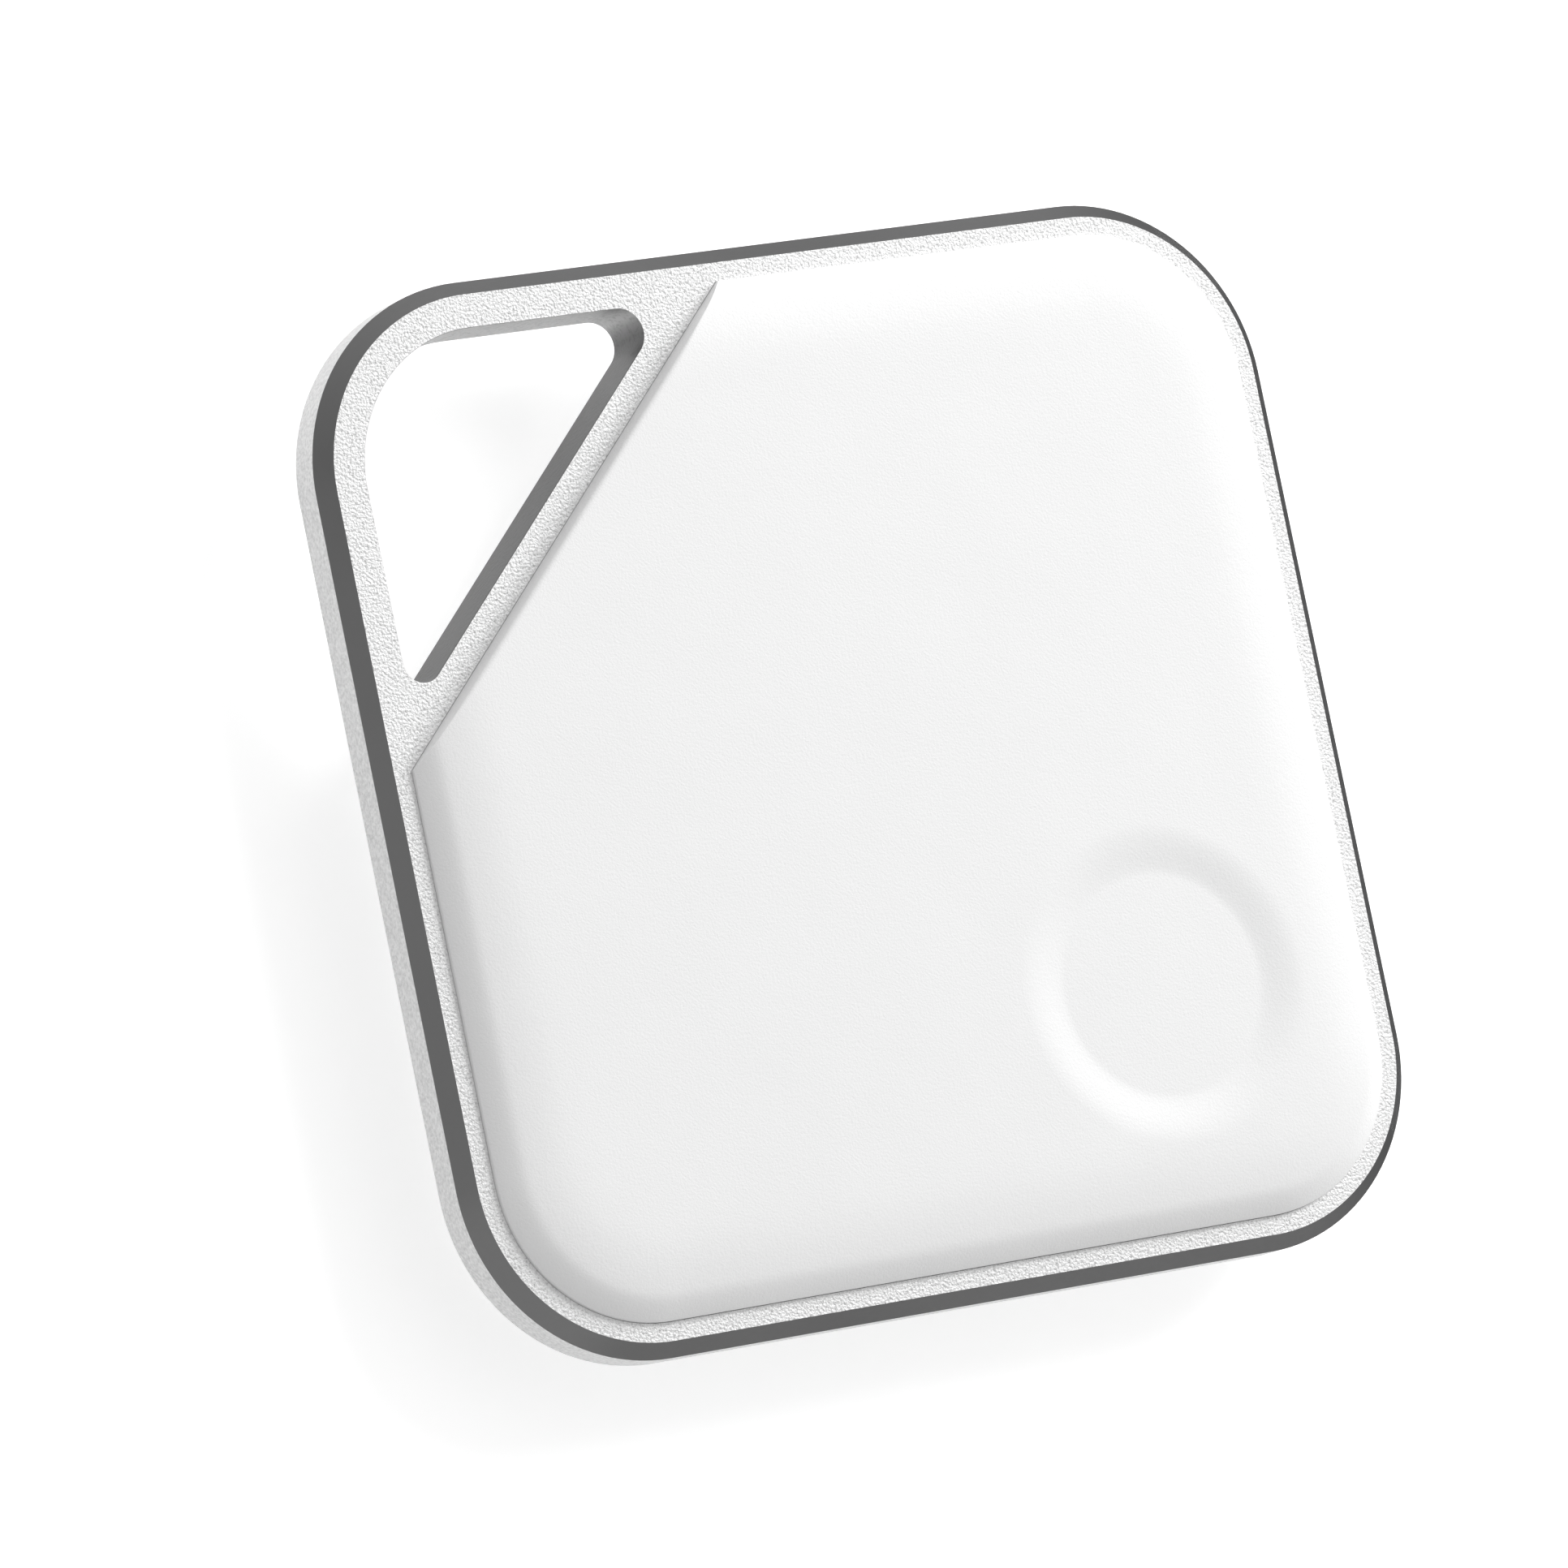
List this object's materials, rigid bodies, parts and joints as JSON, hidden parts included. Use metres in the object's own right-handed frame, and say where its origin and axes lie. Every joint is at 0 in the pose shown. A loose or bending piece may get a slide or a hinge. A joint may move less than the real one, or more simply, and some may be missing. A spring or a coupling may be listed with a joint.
{
  "type": "bluetooth tracker tag",
  "caption": "Thin rounded square tracker tag with a metal rim, a triangular keyring hole, a round push button and a sliding battery door.",
  "frame": {"origin": "middle of the rear resting plane, under the centre of the square", "axes": "+Z out of the front face, +Y towards the edge with the keyring corner, +X to the right seen from the front; the tag lies on its back"},
  "size_m": [0.042, 0.042, 0.0065],
  "materials": {
    "frame_metal": "bead-blasted silver with a polished dark bevel",
    "white_cover": "fine matte white",
    "white_soft": "fine matte white, soft",
    "gasket": "black adhesive foam",
    "rear_plastic": "fine matte white",
    "door_plastic": "fine matte white",
    "board": "green solder mask",
    "cell_steel": "nickel-plated steel",
    "cell_seal": "moulded nylon",
    "cell_core": "pressed powder",
    "spring_strip": "plated spring strip",
    "film": "amber film",
    "chip_black": "black moulding",
    "ferrite": "grey ferrite",
    "crystal_can": "plated lid",
    "antenna": "white ceramic",
    "capacitor": "tan ceramic",
    "resistor": "black ceramic",
    "switch_plastic": "black moulding",
    "plunger": "white moulding",
    "dome": "spring steel",
    "brass": "rolled brass",
    "piezo": "silvered ceramic",
    "foam": "adhesive foam"
  },
  "bodies": {
    "case": {"frame": "frame_metal", "front_cover": "white_cover", "button_web": "white_soft", "front_gasket": "gasket", "rear_gasket": "gasket", "rear_cover": "rear_plastic", "circuit_board": "board", "coin_cell_can": "cell_steel", "coin_cell_cap": "cell_steel", "coin_cell_gasket": "cell_seal", "coin_cell_core": "cell_core", "positive_contact": "spring_strip", "negative_contact": "spring_strip", "insulating_film": "film", "bluetooth_chip": "chip_black", "boost_inductor": "ferrite", "crystals": "crystal_can", "chip_antenna": "antenna", "chip_capacitors": "capacitor", "chip_resistors": "resistor", "switch_body": "switch_plastic", "switch_dome": "dome", "buzzer_plate": "brass", "buzzer_ceramic": "piezo", "buzzer_ring": "foam", "buzzer_contacts": "spring_strip"},
    "button": {"button_pad": "white_cover"},
    "plunger": {"switch_plunger": "plunger"},
    "door": {"battery_door": "door_plastic"}
  },
  "joints": [
    {"name": "button_press", "type": "slide", "parent": "case", "child": "button", "axis": [0, 0, -1], "range_m": [0, 0.0002], "stiffness_N_per_m": 2000, "deforming": ["button_web"]},
    {"name": "plunger_press", "type": "slide", "parent": "case", "child": "plunger", "axis": [0, 0, -1], "range_m": [0, 0.0002], "deforming": ["switch_dome"]},
    {"name": "battery_door_slide", "type": "slide", "parent": "case", "child": "door", "axis": [0, -1, 0], "range_m": [0, 0.036]}
  ],
  "couplings": [
    {"joint": "plunger_press", "follows": "button_press", "ratio": 1}
  ]
}
